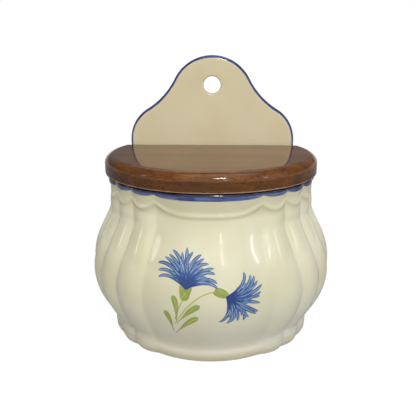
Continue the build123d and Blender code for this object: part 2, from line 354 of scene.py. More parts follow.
def carve(obj, others, operation):
    """Boolean of the object with each of the others, which are used up."""
    for other in others:
        mod = obj.modifiers.new("cut", "BOOLEAN")
        mod.operation = operation
        mod.object = other
        mod.solver = "MANIFOLD"
        bpy.context.view_layer.update()
        mesh = evaluated_mesh(obj, obj.name)
        obj.modifiers.remove(mod)
        old = obj.data
        obj.data = mesh
        bpy.data.meshes.remove(old)
        drop(other)


# ---------------------------------------------------------- the fired box

def box_outside():
    """Outer skin of foot, belly and neck, with its rings close together where there is relief."""
    front = np.linspace(0, GROOVES[0], 58)[:-1]
    sides = np.linspace(GROOVES[0], GROOVES[5], 138)
    back = np.linspace(122.0, 180.0, 12)[:-1]
    half = np.concatenate([front, sides, back])
    phi = np.concatenate([half, [180.0], -half[:0:-1]])
    zs = np.concatenate([
        [0.0, 0.15, 0.4, 0.8, 1.4], np.linspace(2.2, 6.0, 4), np.linspace(6.6, 13.4, 14),
        np.linspace(14.8, 18.4, 3), np.linspace(20.0, 98.0, 36), np.linspace(99.6, 121.0, 48),
        [121.4, 121.8, 122.15, 122.4, 122.6, RIM_Z],
    ])
    rings = []
    for z in zs:
        height = np.full(phi.shape, z)
        x, y = outside(phi, height)
        rings.append(np.stack([x, smooth_min(y, BACK_Y, CORNER_ROUND), height], 1))
    return ring_stack("glazed_box", rings)


def room_ring(width, inset, z, count):
    """Closed ring at the height z, an inset inside the oval, and flat along the plate."""
    turn = np.radians(np.linspace(-180, 180, count + 1)[:-1])
    x = (width - inset) * np.sin(turn)
    y = AXIS_Y - (width * RATIO - inset) * np.cos(turn)
    return np.stack([x, smooth_min(y, PLATE_Y, ROOM_CORNER_ROUND), np.full(count, z)], 1)


def inner_skin():
    """Room inside, with a round floor edge and a rounded rim edge."""
    r, rim_r, past_rim, lowest_width_z = FLOOR_ROUND, 1.7, 1.9, 13.0
    low = [FLOOR_Z + r * (1 - math.cos(t)) for t in np.radians([0, 15, 30, 45, 60, 75, 90])]
    high = [121.0, 121.6, 122.0, 122.4, RIM_Z, RIM_Z + past_rim]
    rings = []
    for z in low + list(np.linspace(15, 120.1, 34)) + high:
        wall = WALL + (RIM_WALL - WALL) * ramp(z, 104.6, 18)
        t = min(max((FLOOR_Z + r - z) / r, 0.0), 1.0)
        pull = r - math.sqrt(max(r ** 2 - (t * r) ** 2, 0.0))
        flare = float(rounded(np.array(z), RIM_Z, rim_r)) if z <= RIM_Z else rim_r
        width = float(half_width(np.array(max(z, lowest_width_z))))
        rings.append(room_ring(width, wall + pull - flare, z, 180))
    return ring_stack("room", rings)


def foot_hollow():
    """Shallow recess that leaves a foot ring."""
    width = FOOT_SHARE * BELLY
    steps = ((-PAST, 6.2), (0.0, 6.4), (0.8, 7.0), (2.6, 7.4), (3.0, 8.4))
    return ring_stack("hollow", [room_ring(width, inset, z, 120) for z, inset in steps])


def spool(name, profile, x, z, sides=72):
    """Turned cutter along Y: pairs of depth and radius."""
    t = np.linspace(0, 2 * math.pi, sides, endpoint=False)
    rings = [np.stack([x + r * np.cos(t), np.full(sides, y), z + r * np.sin(t)], 1)
             for y, r in profile]
    return ring_stack(name, rings)


def hanging_hole():
    """Cutter for the hanging hole, whose edges the glaze has rounded."""
    rounds = [(HANG_EDGE_R * (1 - math.sin(t)), HANG_HOLE_R + HANG_EDGE_R * (1 - math.cos(t)))
              for t in np.radians(np.linspace(0, 90, 9))]
    front = [(PLATE_Y + depth, r) for depth, r in rounds[::-1]]
    back = [(BACK_Y - depth, r) for depth, r in rounds]
    wide = HANG_HOLE_R + HANG_EDGE_R
    profile = [(PLATE_Y - PAST, wide)] + front + back + [(BACK_Y + PAST, wide)]
    return spool("hole", profile, 0.0, HANG_HOLE_Z)


def screw_hole(x, z):
    """Cutter for a screw with a countersunk head on the wall side."""
    shank_r, head_r, head_depth = 1.7, 3.1, 1.8
    profile = [(PLATE_Y - PAST, shank_r), (BACK_Y - head_depth, shank_r),
               (BACK_Y, head_r), (BACK_Y + PAST, head_r)]
    return spool("screw_hole", profile, x, z, 40)


def plate_outline():
    """Points and outward normals along the plate's outline, down the right and up the left.

    The dome and the shoulder are arcs, and the sweep between them is an arc that touches both.
    """
    dome = np.array([0.0, HEIGHT - DOME_R])
    shoulder = np.array([SHOULDER_X - SHOULDER_R, SHOULDER_Z - SHOULDER_R])
    span = np.linalg.norm(shoulder - dome)
    near, far = DOME_R + SWEEP_R, SHOULDER_R + SWEEP_R
    along = (near ** 2 - far ** 2 + span ** 2) / (2 * span)
    across = math.sqrt(near ** 2 - along ** 2)
    u = (shoulder - dome) / span
    sweep = dome + along * u + across * np.array([-u[1], u[0]])
    low = np.array([shoulder[0], PLATE_FOOT_Z + SHOULDER_R])
    first = math.atan2(*(sweep - dome)[::-1])
    second = math.atan2(*(sweep - shoulder)[::-1])
    points, normals = [], []

    def arc(centre, radius, start, end, count, sign=1.0):
        for t in np.linspace(start, end, count, endpoint=False):
            d = np.array([math.cos(t), math.sin(t)])
            points.append(centre + radius * d)
            normals.append(sign * d)

    arc(dome, DOME_R, math.pi / 2, first, 30)
    arc(sweep, SWEEP_R, first + math.pi, second + math.pi, 26, -1.0)
    arc(shoulder, SHOULDER_R, second, 0.0, 26)
    for z in np.linspace(shoulder[1], low[1], 5, endpoint=False):
        points.append(np.array([SHOULDER_X, z]))
        normals.append(np.array([1.0, 0.0]))
    arc(low, SHOULDER_R, 0.0, -math.pi / 2, 12)
    points.append(np.array([low[0], PLATE_FOOT_Z]))
    normals.append(np.array([0.0, -1.0]))
    right = list(zip(points, normals))
    left = [((-p[0], p[1]), (-n[0], n[1])) for p, n in right[:0:-1]]
    ring = [(tuple(p), tuple(n)) for p, n in right] + left
    return np.array([p for p, _ in ring]), np.array([n for _, n in ring])


OUTLINE, OUTLINE_NORMAL = plate_outline()


def plate_skin():
    """Back plate with rounded edges."""
    face_insets = (9.0, 5.5, 3.6)
    rounds = [(PLATE_EDGE_R * (1 - math.sin(t)), PLATE_EDGE_R * (1 - math.cos(t)))
              for t in np.radians(np.linspace(90, 0, 7))]
    steps = [(PLATE_Y, inset) for inset in face_insets]
    steps += [(PLATE_Y + depth, inset) for depth, inset in rounds]
    steps += [(PLATE_Y + PLATE_THICKNESS / 2, 0.0)]
    steps += [(BACK_Y - depth, inset) for depth, inset in rounds[::-1]]
    steps += [(BACK_Y, inset) for inset in face_insets[::-1]]
    rings = []
    for y, inset in steps:
        p = OUTLINE - OUTLINE_NORMAL * inset
        rings.append(np.stack([p[:, 0], np.full(len(p), y), p[:, 1]], 1))
    return ring_stack("plate", rings)


def outline_depth(x, z):
    """Distance from each point to the plate's outline."""
    p = np.stack([x, z], 1)
    best = np.full(len(p), 1e9)
    ends = np.roll(OUTLINE, -1, axis=0)
    for a, b in zip(OUTLINE, ends):
        d = b - a
        t = np.clip(((p - a) @ d) / (d @ d), 0.0, 1.0)
        best = np.minimum(best, np.linalg.norm(p - a - t[:, None] * d, axis=1))
    return best


def paint_distance(co):
    """Millimetres inside (+) or outside (-) the blue of each point: lip band and plate edge."""
    furthest = 2.0
    band_over_rim, line_on_face, line_over_edge = 2.6, 1.75, 5.4
    band_end_y, band_end_phi = BACK_Y - 6.0, 116.0
    line_from_z, line_from_y = RIM_Z + 0.3, PLATE_Y - 0.2
    x, y, z = co.T
    width = half_width(np.clip(z, 0.0, RIM_Z))
    phi = np.degrees(np.arctan2(x / width, -(y - AXIS_Y) / (width * RATIO)))
    ox, oy = outside(phi, np.clip(z, 0.0, RIM_Z))
    wall = np.hypot(ox, oy - AXIS_Y) - np.hypot(x, y - AXIS_Y)
    band = np.minimum(z - lip_line(phi), band_over_rim - wall)
    band = np.where((y > band_end_y) | (np.abs(phi) > band_end_phi), -furthest, band)
    edge = np.minimum(line_on_face - outline_depth(x, z), PLATE_Y + line_over_edge - y)
    edge = np.where((z > line_from_z) & (y > line_from_y), edge, -furthest)
    return np.clip(np.maximum(band, edge), -furthest, furthest)


def fired_box():
    """Box, plate, room, recess and holes in one skin, with the paint's distance on it."""
    body = box_outside()
    carve(body, [plate_skin()], "UNION")
    cuts = [inner_skin(), foot_hollow(), hanging_hole()]
    low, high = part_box("bracket_screws")
    head_r = 3.0
    xs = (low.x / MM + head_r, high.x / MM - head_r)
    zs = (low.z / MM + head_r, high.z / MM - head_r)
    cuts += [screw_hole(x, z) for x in xs for z in zs]
    carve(body, cuts, "DIFFERENCE")
    set_attribute(body.data, "paint_mm", paint_distance(get_points(body.data)))
    shade_smooth(body.data, 34)
    return body


# -------------------------------------------------------------- materials

SMOOTH = {"interpolation_type": "SMOOTHSTEP"}
SPAN = ("From Min", "From Max", "To Min", "To Max")  # without the last two it runs from 0 to 1
COLOUR = {"data_type": "RGBA"}
PETAL, HEART, LEAF, STEM = 0.0, 0.5, 1.0, 2.0  # pigments of the painted strokes


def add_node(tree, kind, settings):
    """Adds a node and gives it its settings.

    A key is one of the node's properties, or the name or number of an input. An input takes a
    value, a hex colour, or a socket that is joined to it; a node stands for its first live output.
    """
    node = tree.nodes.new(kind)
    for key, value in settings.items():
        if isinstance(key, str) and key in node.bl_rna.properties:
            setattr(node, key, value)
            continue
        socket = node.inputs[key] if isinstance(key, int) else next(
            s for s in node.inputs if s.enabled and s.name == key)
        if isinstance(value, bpy.types.Node):
            value = next(s for s in value.outputs if s.enabled)
        if isinstance(value, bpy.types.NodeSocket):
            tree.links.new(value, socket)
        else:
            is_hex = isinstance(value, str) and socket.type == "RGBA"
            socket.default_value = hex_rgb(value) if is_hex else value
    return node


def new_material(name):
    mat = bpy.data.materials.new(name)
    mat.use_nodes = True
    mat.node_tree.nodes.clear()
    return mat, mat.node_tree


def mm_coords(tree):
    """Object coordinates in millimetres."""
    where = add_node(tree, "ShaderNodeTexCoord", {})
    return add_node(tree, "ShaderNodeVectorMath", {
        "operation": "SCALE", "Scale": 1 / MM, 0: where.outputs["Object"]})


def tin_glaze():
    """Tin glaze over earthenware, fired glossy.

    Warm milky white with faint clouds and ripples. Painted shade turns it greyer and cooler low on
    the belly, darker beneath the lip and on the foot, and warmer and darker on the plate, most
    towards its top.
    The cobalt of the lip and the plate's edge is brushed along, with darker pools at random, and
    painted shade darkens it towards the sides and in the lid's shadow at the top of the band.
    """
    cloud_mm, hair_mm, pool_mm, ripple_mm = 38, 1.5, 8.0, 9.0
    hair_stretch = (0.12, 0.12, 1.0)
    paint_waver = 0.5
    mat, tree = new_material("tin_glaze_over_earthenware")
    mm = mm_coords(tree)
    x, _, z = add_node(tree, "ShaderNodeSeparateXYZ", {"Vector": mm}).outputs
    along_rim = add_node(tree, "ShaderNodeMapping", {"Vector": mm, "Scale": hair_stretch})
    cloud, hair, pool, ripple = [
        add_node(tree, "ShaderNodeTexNoise", {
            "Vector": space, "Scale": 1 / size, "Detail": detail, "Roughness": rough})
        for space, size, detail, rough in (
            (mm, cloud_mm, 2.0, 0.5), (along_rim, hair_mm, 3.0, 0.55),
            (mm, pool_mm, 2.0, 0.5), (mm, ripple_mm, 1.5, 0.5))]
    from_middle = add_node(tree, "ShaderNodeMath", {"operation": "ABSOLUTE", 0: x})
    centred = add_node(tree, "ShaderNodeMath", {"operation": "SUBTRACT", 0: pool, 1: 0.5})
    waver = add_node(tree, "ShaderNodeMath", {"operation": "MULTIPLY", 0: centred, 1: paint_waver})
    paint = add_node(tree, "ShaderNodeAttribute", {"attribute_name": "paint_mm"})
    edge = add_node(tree, "ShaderNodeMath", {
        "operation": "ADD", 0: paint.outputs["Fac"], 1: waver})
    masks = {name: add_node(tree, "ShaderNodeMapRange", {
        **SMOOTH, "Value": value, **dict(zip(SPAN, span))})
        for name, value, *span in (
            ("clouds", cloud, 0.35, 0.65),
            ("low belly", z, 62.0, 18.0),
            ("shade under the lip", z, 103.0, 108.0, 0.0, 0.6),
            ("foot", z, 8.6, 6.4),
            ("above the rim", z, RIM_Z, RIM_Z + 4.0),
            ("up the plate", z, 135.0, 192.0),
            ("hairs", hair, 0.36, 0.68),
            ("pools", pool, 0.50, 0.72),
            ("shade at the sides", from_middle, 44.0, 76.0, 0.0, 0.9),
            ("lid shadow on the band", z, RIM_Z - 2.7, RIM_Z - 1.8),
            ("plate edge", z, RIM_Z + 0.5, RIM_Z + 4.0),
            ("painted", edge, -0.16, 0.16))}
    tones = {name: add_node(tree, "ShaderNodeMix", {
        **COLOUR, "Factor": masks[by], "A": first, "B": second})
        for name, by, first, second in (
            ("belly", "clouds", "D9D3B1", "DED9BB"),
            # greyer, cooler tone of the glaze that paints shade low on the belly
            ("painted low shade", "clouds", "D3CEB9", "D8D4C1"),
            # the plate's tones are the same glaze in painted shade, warmer and darker than the
            # belly's
            ("plate", "clouds", "D7C9A2", "DBCEA9"),
            ("plate top", "clouds", "CEC099", "D2C5A0"),
            ("cobalt", "hairs", "48548C", "6876A2"),
            ("cobalt line", "hairs", "2E3866", "3E4A7C"))}
    for name, by, colour in (
            # painted shade: the plate darkens towards its top
            ("plate", "up the plate", "plate top"),
            # painted shade: the belly turns greyer and cooler towards the foot
            ("belly", "low belly", "painted low shade"),
            # painted shade: the neck is darker beneath the lip
            ("belly", "shade under the lip", "CBC4A3"),
            # painted shade: the glaze is darker on the foot
            ("belly", "foot", "CFC8AC"),
            # painted shade: above the rim the glaze takes the plate's warmer, darker tone
            ("belly", "above the rim", "plate"),
            ("cobalt", "pools", "38437C"),
            # painted shade: the cobalt darkens towards the sides
            ("cobalt", "shade at the sides", "273059"),
            # painted shadow of the lid on the top of the blue band
            ("cobalt", "lid shadow on the band", "1A1F38"),
            ("cobalt", "plate edge", "cobalt line"),
            ("belly", "painted", "cobalt")):
        tones[name] = add_node(tree, "ShaderNodeMix", {
            **COLOUR, "Factor": masks[by], "A": tones[name], "B": tones.get(colour, colour)})
    bump = add_node(tree, "ShaderNodeBump", {
        "Strength": 0.25, "Distance": 0.22 * MM, "Height": ripple})
    shader = add_node(tree, "ShaderNodeBsdfPrincipled", {
        "Base Color": tones["belly"], "Roughness": 0.13, "IOR": 1.52, "Normal": bump})
    add_node(tree, "ShaderNodeOutputMaterial", {"Surface": shader})
    return mat


def painted_colours():
    """Cobalt and copper green under the glaze, laid on with a wet brush.

    Each stroke has dark wet edges, a lighter middle and brush marks along it.
    """
    hair_along, hair_across, shade_step = 2.2, 2.6, 37.0
    mat, tree = new_material("cobalt_and_green_under_glaze")
    place, shade, pigment = [
        add_node(tree, "ShaderNodeAttribute", {"attribute_name": name}).outputs[output]
        for name, output in (("stroke", "Vector"), ("shade", "Fac"), ("pigment", "Fac"))]
    along, sideways, _ = add_node(tree, "ShaderNodeSeparateXYZ", {"Vector": place}).outputs
    across = add_node(tree, "ShaderNodeMath", {"operation": "ABSOLUTE", 0: sideways})
    own_place = add_node(tree, "ShaderNodeCombineXYZ", {
        axis: add_node(tree, "ShaderNodeMath", {"operation": "MULTIPLY", 0: value, 1: factor})
        for axis, value, factor in (
            ("X", along, hair_along), ("Y", sideways, hair_across), ("Z", shade, shade_step))})
    hair = add_node(tree, "ShaderNodeTexNoise", {"Vector": own_place, "Scale": 1.0, "Detail": 2.0})
    masks = {name: add_node(tree, "ShaderNodeMapRange", {
        **SMOOTH, "Value": value, **dict(zip(SPAN, span))})
        for name, value, *span in (
            ("streak", hair, 0.35, 0.65),
            ("pale streak", hair, 0.35, 0.65, 0.26, 0.91),
            ("middle", across, 0.62, 0.12),
            ("outer part", along, 0.25, 0.62),
            ("petal end", along, 0.26, 0.70),
            ("petal edge", across, 0.62, 0.95, 0.0, 0.7),
            ("heart end", along, 0.55, 1.0),
            ("leaf edge", across, 0.55, 1.0, 0.0, 0.5),
            ("green", pigment, 0.7, 0.8))}
    masks["light"] = masks["middle"]
    for name in ("outer part", "pale streak"):
        masks["light"] = add_node(tree, "ShaderNodeMath", {
            "operation": "MULTIPLY", 0: masks["light"], 1: masks[name]})
    for name, value, within in (("heart", HEART, 0.2), ("stem", STEM, 0.4)):
        masks[name] = add_node(tree, "ShaderNodeMath", {
            "operation": "COMPARE", 0: pigment, 1: value, 2: within})
    tones = {name: add_node(tree, "ShaderNodeMix", {
        **COLOUR, "Factor": masks[by], "A": first, "B": second})
        for name, by, first, second in (
            ("blue", "petal end", "243D79", "426395"),
            ("dark blue", "heart end", "23407E", "33579A"),
            ("leaf", "streak", "8F9A47", "A6B15F"))}
    for name, by, colour in (
            ("blue", "light", "A0B7CD"),
            ("blue", "petal edge", "294587"),
            ("blue", "heart", "dark blue"),
            ("leaf", "leaf edge", "7F9440"),
            ("leaf", "stem", "B4B46E"),
            ("blue", "green", "leaf")):
        tones[name] = add_node(tree, "ShaderNodeMix", {
            **COLOUR, "Factor": masks[by], "A": tones[name], "B": tones.get(colour, colour)})
    shader = add_node(tree, "ShaderNodeBsdfPrincipled", {
        "Base Color": tones["blue"], "Roughness": 0.13, "IOR": 1.52})
    add_node(tree, "ShaderNodeOutputMaterial", {"Surface": shader})
    return mat


def varnished_wood():
    """Stained hardwood, sanded round and brushed with gloss varnish.

    Brown with fine grain from left to right and dark pores. Painted shade darkens the sides and the
    left-hand end. Bare wood shows along the worn lower arris, lightened there also as a painted
    highlight. The varnish mirrors most on the level top.
    """
    figure_mm, rub_mm = 9.0, 6.0
    fibre_mm, pore_mm = 1.1, 0.8  # coarser than in real wood, so that they show
    grain_stretch, pore_stretch = (0.028, 1.0, 1.0), (0.16, 1.0, 1.0)
    rub_depth_mm = 1.4
    mat, tree = new_material("varnished_stained_hardwood")
    mm = mm_coords(tree)
    grain, pore_run = [add_node(tree, "ShaderNodeMapping", {"Vector": mm, "Scale": stretch})
                       for stretch in (grain_stretch, pore_stretch)]
    figure, fine, pores, rub = [
        add_node(tree, "ShaderNodeTexNoise", {
            "Vector": space, "Scale": 1 / size, "Detail": detail, "Roughness": rough,
            "Distortion": bent})
        for space, size, detail, rough, bent in (
            (grain, figure_mm, 4.0, 0.5, 0.6), (grain, fibre_mm, 4.0, 0.65, 0.0),
            (pore_run, pore_mm, 1.0, 0.5, 0.0), (mm, rub_mm, 3.0, 0.5, 0.0))]
    x, _, z = add_node(tree, "ShaderNodeSeparateXYZ", {"Vector": mm}).outputs
    centred = add_node(tree, "ShaderNodeMath", {"operation": "SUBTRACT", 0: rub, 1: 0.5})
    uneven = add_node(tree, "ShaderNodeMath", {
        "operation": "MULTIPLY", 0: centred, 1: rub_depth_mm})
    height = add_node(tree, "ShaderNodeMath", {"operation": "ADD", 0: z, 1: uneven})
    normal = add_node(tree, "ShaderNodeTexCoord", {}).outputs["Normal"]
    _, _, facing_up = add_node(tree, "ShaderNodeSeparateXYZ", {"Vector": normal}).outputs
    masks = {name: add_node(tree, "ShaderNodeMapRange", {
        **SMOOTH, "Value": value, **dict(zip(SPAN, span))})
        for name, value, *span in (
            ("figure", figure, 0.32, 0.7),
            ("fibres", fine, 0.45, 0.72, 0.0, 0.65),
            ("pores", pores, 0.62, 0.72, 0.0, 0.75),
            # painted shade: the lid's sides are darker
            ("side", height, 131.0, 129.8, 0.0, 0.38),
            # painted shade: the lid darkens towards its left end
            ("shaded left end", x, -25.0, -75.0, 0.0, 0.40),
            ("arris", facing_up, -0.97, -0.80),
            ("lowest", height, 124.1, 123.5),
            ("varnish", facing_up, 0.45, 0.97, 0.50, 1.0))}
    # bare wood along the worn lower arris, lightened also as a painted highlight where the edge
    # catches the light
    masks["worn and lit"] = add_node(tree, "ShaderNodeMath", {
        "operation": "MULTIPLY", 0: masks["lowest"], 1: masks["arris"]})
    tone = "5E381A"
    for by, colour in (("figure", "804F20"), ("fibres", "3A2210"), ("pores", "2C1A10"),
                       ("side", "2A170A"), ("shaded left end", "2A170A"), ("worn and lit", "A8875E")):
        tone = add_node(tree, "ShaderNodeMix", {
            **COLOUR, "Factor": masks[by], "A": tone, "B": colour})
    bump = add_node(tree, "ShaderNodeBump", {
        "Strength": 0.12, "Distance": 0.2 * MM, "Height": fine})
    shader = add_node(tree, "ShaderNodeBsdfPrincipled", {
        "Base Color": tone, "Roughness": 0.45, "Specular IOR Level": 0.0, "Normal": bump,
        "Coat Weight": masks["varnish"], "Coat Roughness": 0.09, "Coat IOR": 1.5})
    add_node(tree, "ShaderNodeOutputMaterial", {"Surface": shader})
    return mat


def brass():
    """Drawn and turned brass left to dull: satin yellow with patches of brown tarnish."""
    drawn_mm, tarnish_mm = 0.5, 7.0  # the drawing lines are coarser than real ones, to show
    mat, tree = new_material("dull_brass")
    mm = mm_coords(tree)
    drawn = add_node(tree, "ShaderNodeMapping", {"Vector": mm, "Scale": (1.0, 1.0, 0.1)})
    lines, tarnish = [
        add_node(tree, "ShaderNodeTexNoise", {"Vector": space, "Scale": 1 / size, "Detail": 3.0})
        for space, size in ((drawn, drawn_mm), (mm, tarnish_mm))]
    patches, rough = [
        add_node(tree, "ShaderNodeMapRange", {
            **SMOOTH, "Value": value, **dict(zip(SPAN, span))})
        for value, *span in ((tarnish, 0.4, 0.7), (lines, 0.3, 0.7, 0.26, 0.42))]
    tone = add_node(tree, "ShaderNodeMix", {
        **COLOUR, "Factor": patches, "A": "C9A45C", "B": "9A7A42"})
    bump = add_node(tree, "ShaderNodeBump", {
        "Strength": 0.1, "Distance": 0.05 * MM, "Height": lines})
    shader = add_node(tree, "ShaderNodeBsdfPrincipled", {
        "Base Color": tone, "Metallic": 1.0, "Roughness": rough, "Normal": bump})
    add_node(tree, "ShaderNodeOutputMaterial", {"Surface": shader})
    return mat


def fibre():
    """Vulcanised fibre sheet, pressed and punched: dark brown, matt, felted."""
    felt_mm = 0.6  # coarser than real felt, so that it shows
    mat, tree = new_material("pressed_fibre")
    felt = add_node(tree, "ShaderNodeTexNoise", {
        "Vector": mm_coords(tree), "Scale": 1 / felt_mm, "Detail": 5.0})
    tone = add_node(tree, "ShaderNodeMix", {**COLOUR, "Factor": felt, "A": "3A2A20", "B": "66503C"})
    bump = add_node(tree, "ShaderNodeBump", {"Strength": 0.4, "Distance": 0.1 * MM, "Height": felt})
    shader = add_node(tree, "ShaderNodeBsdfPrincipled", {
        "Base Color": tone, "Roughness": 0.85, "Normal": bump})
    add_node(tree, "ShaderNodeOutputMaterial", {"Surface": shader})
    return mat


def dress(obj, mat):
    """Gives the piece its one material."""
    obj.data.materials.clear()
    obj.data.materials.append(mat)


# ------------------------------------------------------------- the lid

def lid_skin():
    """The lid board as one welded skin with true flats and smooth rounds."""
    weld_distance, sharp_from, flat_weight = 0.004 * MM, 32, 90
    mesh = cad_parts["lid_board"].data.copy()
    mesh.name = "lid_dressed"
    obj = show("lid_dressed", mesh)
    bm = bmesh.new()
    bm.from_mesh(mesh)
    bmesh.ops.remove_doubles(bm, verts=bm.verts, dist=weld_distance)
    bm.to_mesh(mesh)
    bm.free()
    shade_smooth(mesh, sharp_from)
    mod = obj.modifiers.new("flats", "WEIGHTED_NORMAL")
    mod.keep_sharp = True
    mod.weight = flat_weight
    final = evaluated_mesh(obj, "lid_dressed")
    obj.modifiers.remove(mod)
    obj.data = final
    bpy.data.meshes.remove(mesh)
    return obj


# ------------------------------------------------------ the painted spray

SPRAY_LIFT = 1.6  # moves the whole spray up
FILM_MM = 0.6  # most of it lies inside the glaze
FILM_PROUD = 0.05  # how far the first stroke stands out
LAYER_STEP = 0.004  # each stroke lies this much over the one before
STEPS_ALONG = 18
STEPS_ACROSS = 4


def floret_width(t):
    """Pointed brush stroke: thin at the root, widest past the middle, a soft point."""
    swell = 0.26 + 0.74 * smoothstep(t / 0.55)
    point = np.sqrt(np.clip(1 - np.clip((t - 0.60) / 0.40, 0, 1) ** 2.1, 0, 1))
    return 0.052 * swell * (0.12 + 0.88 * point)


def leaf_width(t):
    """Club-shaped stroke: a thin tail that opens into a round head."""
    head = np.sqrt(np.clip(1 - np.clip((t - 0.86) / 0.14, 0, 1) ** 2, 0, 1))
    return (0.012 + 0.080 * smoothstep((t - 0.08) / 0.72)) * (0.06 + 0.94 * head)


def calyx_width(t):
    """Cup under the flower: round foot, straight sides, wide mouth."""
    foot = np.sqrt(np.clip(1 - np.clip((0.30 - t) / 0.30, 0, 1) ** 2, 0, 1))
    return (0.27 + 0.16 * t) * (0.10 + 0.90 * foot)


def egg_width(t):
    """Egg-shaped cup, fuller at its foot."""
    return 0.31 * np.sqrt(np.clip(1 - ((t - 0.44) / 0.58) ** 2, 0.002, 1)) * (1.04 - 0.12 * t)


def core_width(t):
    """Wedge that fills the heart of the flower."""
    end = np.sqrt(np.clip(1 - np.clip((t - 0.45) / 0.55, 0, 1) ** 2, 0, 1))
    return 0.02 + 0.95 * t * end


def stem_width(t):
    """Even, thin stroke."""
    return np.full(np.shape(t), 0.022)


def long_stem_width(t):
    """Very thin stroke, thinnest where it starts."""
    return np.full(np.shape(t), 0.0105) * (0.6 + 0.4 * smoothstep(t / 0.3))


# width and bend in degrees of each kind of stroke, with the petals first, from left to right
TEMPLATES = (
    (floret_width, -88.0), (floret_width, -56.0), (floret_width, 0.0), (floret_width, 56.0),
    (floret_width, 88.0), (leaf_width, 30.0), (leaf_width, -32.0), (calyx_width, 0.0),
    (core_width, 0.0), (stem_width, -12.0), (long_stem_width, -58.0), (egg_width, 0.0),
)
LEAF_LEFT, LEAF_RIGHT, CALYX, CORE, STEM_SHORT, STEM_LONG, EGG = range(5, 12)
PETAL_KINDS = 5


def stroke_path(bend):
    """Middle line of a stroke of unit length, nearly straight at the root and bent by degrees."""
    t = np.linspace(0.0, 1.0, STEPS_ALONG + 1)
    heading = np.radians(bend) * (t ** 2.0 - 0.3)
    middle = (heading[:-1] + heading[1:]) / 2
    x = np.concatenate([[0.0], np.cumsum(np.cos(middle) / STEPS_ALONG)])
    z = np.concatenate([[0.0], np.cumsum(np.sin(middle) / STEPS_ALONG)])
    return t, heading, x, z


def stroke_template(index):
    """Flat stroke in the XZ plane; its stroke attribute holds the place along and across."""
    width, bend = TEMPLATES[index]
    t, heading, x, z = stroke_path(bend)
    verts, marks = [], []
    for i in range(STEPS_ALONG + 1):
        for s in np.linspace(-1, 1, STEPS_ACROSS + 1):
            off = s * float(width(t[i]))
            aside, up = -off * math.sin(heading[i]), off * math.cos(heading[i])
            verts.append((x[i] + aside, 0.0, z[i] + up))
            marks.append((t[i], s, 0.0))
    faces = []
    row = STEPS_ACROSS + 1
    for i in range(STEPS_ALONG):
        for j in range(STEPS_ACROSS):
            a = i * row + j
            faces.append((a, a + row, a + row + 1, a + 1))
    obj = new_object("stroke_%02d" % index, verts, faces)
    set_attribute(obj.data, "stroke", marks, "FLOAT_VECTOR")
    return obj


def brush(start, end, template, shade, pigment):
    """One stroke from start to end: x, z, turn in degrees, length, template, shade, pigment."""
    _, _, x, z = stroke_path(TEMPLATES[template][1])
    dx, dz = end[0] - start[0], end[1] - start[1]
    turn = math.atan2(dz, dx) - math.atan2(z[-1], x[-1])
    reach = math.hypot(dx, dz) / math.hypot(x[-1], z[-1])
    return (start[0], start[1], math.degrees(turn), reach, template, shade, pigment)


def flower(root, aim, edge_reach, extra_reach, dark_count, rng):
    """Strokes of one cornflower: rays that leave the root and flare away from its axis."""
    widest_lean, straight_kind, kind_spread = 78.0, 2, 2.8

    def along(turn, length):
        return (root[0] + length * math.cos(turn), root[1] + length * math.sin(turn))

    def ray(share, length, pigment):
        lean = widest_lean * share + rng.uniform(-3.5, 3.5)
        tip = along(math.radians(aim + lean), length)
        kind = round(straight_kind + kind_spread * share + rng.uniform(-0.6, 0.6))
        return brush(root, tip, int(np.clip(kind, 0, PETAL_KINDS - 1)), rng.uniform(0, 1), pigment)

    def fan(count, scale, edge, pigment=PETAL):
        shares = np.linspace(-edge, edge, count)
        reach = [edge_reach + extra_reach * (1 - s * s) for s in shares]
        return [ray(s, scale * r * rng.uniform(0.91, 1.05), pigment) for s, r in zip(shares, reach)]

    back, front = fan(16, 1.0, 1.0), fan(12, 0.76, 0.90)
    inner = fan(dark_count, 0.48, 0.80, HEART)
    strokes = [back[k] for k in rng.permutation(len(back))]
    strokes.append(brush(root, along(math.radians(aim), 0.6 * edge_reach), CORE, 0.2, HEART))
    return strokes + [front[k] for k in rng.permutation(len(front))] + inner


def spray_strokes():
    """All strokes of the spray, back to front."""
    strokes = [
        brush((-21.8, 37.2), (-15.9, 53.2), STEM_SHORT, 0.5, STEM),
        brush((-22.0, 33.0), (5.4, 59.2), STEM_LONG, 0.4, STEM),
        brush((-20.9, 34.6), (-22.9, 55.2), LEAF_LEFT, 0.3, LEAF),
        brush((-23.0, 25.8), (-28.8, 43.2), LEAF_LEFT, 0.1, LEAF),
        brush((-20.6, 33.6), (-4.9, 49.2), LEAF_RIGHT, 0.7, LEAF),
        brush((-21.6, 24.4), (-6.0, 40.2), LEAF_RIGHT, 0.5, LEAF),
        brush((-15.6, 52.2), (-14.1, 61.8), CALYX, 0.6, LEAF),
        brush((4.5, 60.0), (13.6, 56.0), EGG, 0.4, LEAF),
    ]
    strokes += flower((-14.2, 60.2), 82.0, 20.0, 5.0, 13, np.random.default_rng(10))
    strokes += flower((12.0, 55.6), -24.0, 18.5, 5.5, 6, np.random.default_rng(9))
    return strokes


